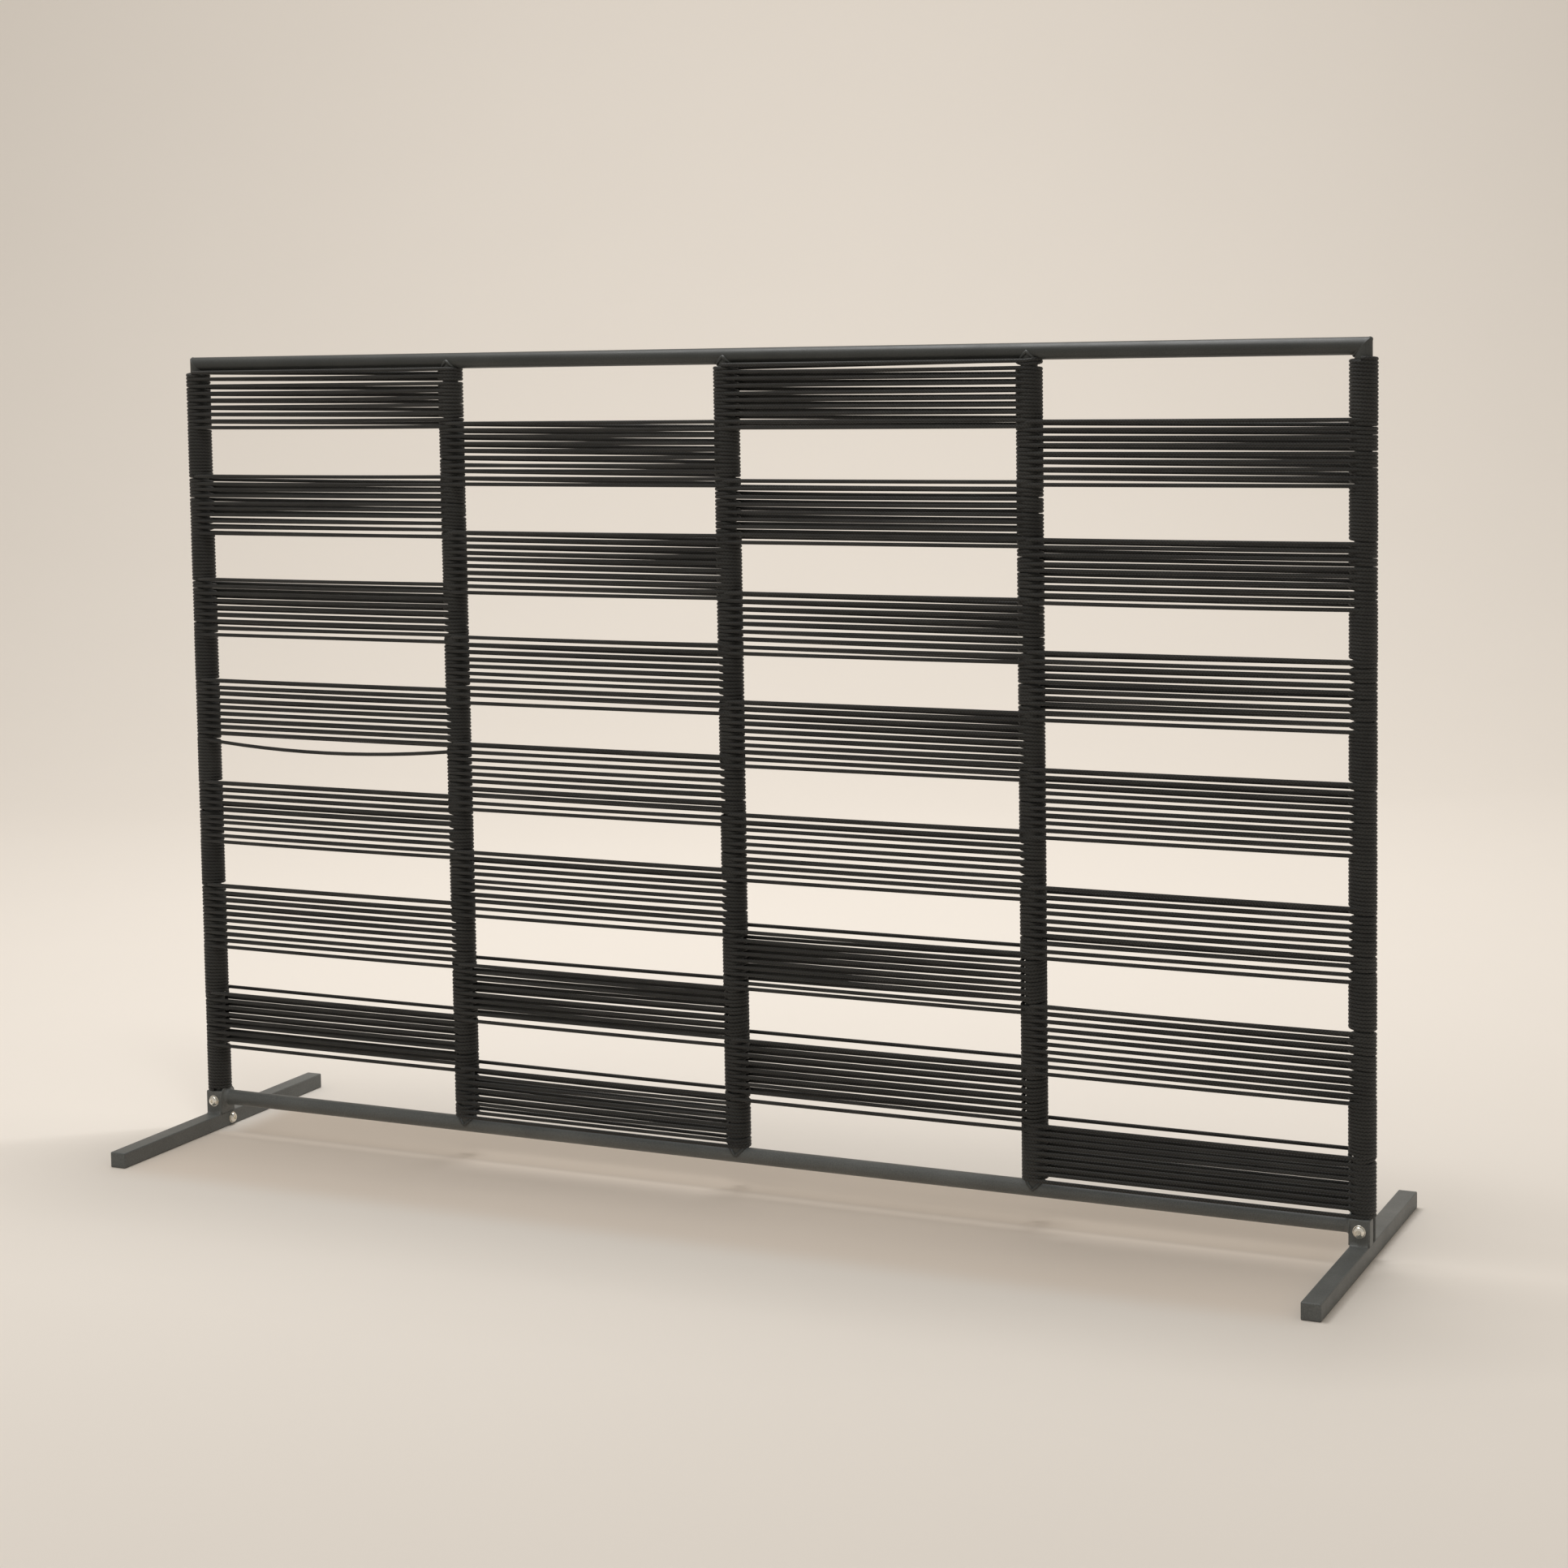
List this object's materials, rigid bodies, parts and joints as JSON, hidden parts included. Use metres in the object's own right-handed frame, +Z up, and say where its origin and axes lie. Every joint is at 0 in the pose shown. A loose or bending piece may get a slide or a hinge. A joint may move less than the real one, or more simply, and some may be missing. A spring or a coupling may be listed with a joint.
{
  "type": "fireplace screen",
  "caption": "Free-standing fireplace screen: round-tube frame wound with dark rope in a staggered pattern of bands and openings, on bolted foot bars.",
  "frame": {"origin": "on the floor, midway along the screen and midway between its faces", "axes": "+X along the screen, +Y from the face with the bolt heads to the other face, +Z up"},
  "size_m": [1.2736, 0.37, 0.836],
  "materials": {
    "frame": "fine-textured anthracite powder coat, satin",
    "rope": "round braided synthetic rope, matt charcoal",
    "bolt": "bright nickel-plated button-head bolt on a plain washer"
  },
  "bodies": {
    "root": {"top_rail": "frame", "bottom_rail": "frame", "post_left_end": "frame", "post_2": "frame", "post_3": "frame", "post_4": "frame", "post_right_end": "frame", "foot_bar_left": "frame", "foot_bar_right": "frame", "foot_socket_left": "frame", "foot_socket_right": "frame", "rope_band_c1_r01": "rope", "rope_band_c1_r03": "rope", "rope_band_c1_r05": "rope", "rope_band_c1_r07": "rope", "rope_band_c1_r09": "rope", "rope_band_c1_r11": "rope", "rope_band_c1_r13": "rope", "rope_band_c2_r02": "rope", "rope_band_c2_r04": "rope", "rope_band_c2_r06": "rope", "rope_band_c2_r08": "rope", "rope_band_c2_r10": "rope", "rope_band_c2_r12": "rope", "rope_band_c2_r14": "rope", "rope_band_c3_r01": "rope", "rope_band_c3_r03": "rope", "rope_band_c3_r05": "rope", "rope_band_c3_r07": "rope", "rope_band_c3_r09": "rope", "rope_band_c3_r11": "rope", "rope_band_c3_r13": "rope", "rope_band_c4_r02": "rope", "rope_band_c4_r04": "rope", "rope_band_c4_r06": "rope", "rope_band_c4_r08": "rope", "rope_band_c4_r10": "rope", "rope_band_c4_r12": "rope", "rope_band_c4_r14": "rope", "rope_sleeve_left_r02": "rope", "rope_sleeve_left_r04": "rope", "rope_sleeve_left_r06": "rope", "rope_sleeve_left_r08": "rope", "rope_sleeve_left_r10": "rope", "rope_sleeve_left_r12": "rope", "rope_sleeve_left_r14": "rope", "rope_sleeve_right_r01": "rope", "rope_sleeve_right_r03": "rope", "rope_sleeve_right_r05": "rope", "rope_sleeve_right_r07": "rope", "rope_sleeve_right_r09": "rope", "rope_sleeve_right_r11": "rope", "rope_sleeve_right_r13": "rope", "post_bolt_left": "bolt", "post_bolt_right": "bolt", "foot_bolt_left": "bolt", "foot_bolt_right": "bolt"}
  },
  "joints": []
}
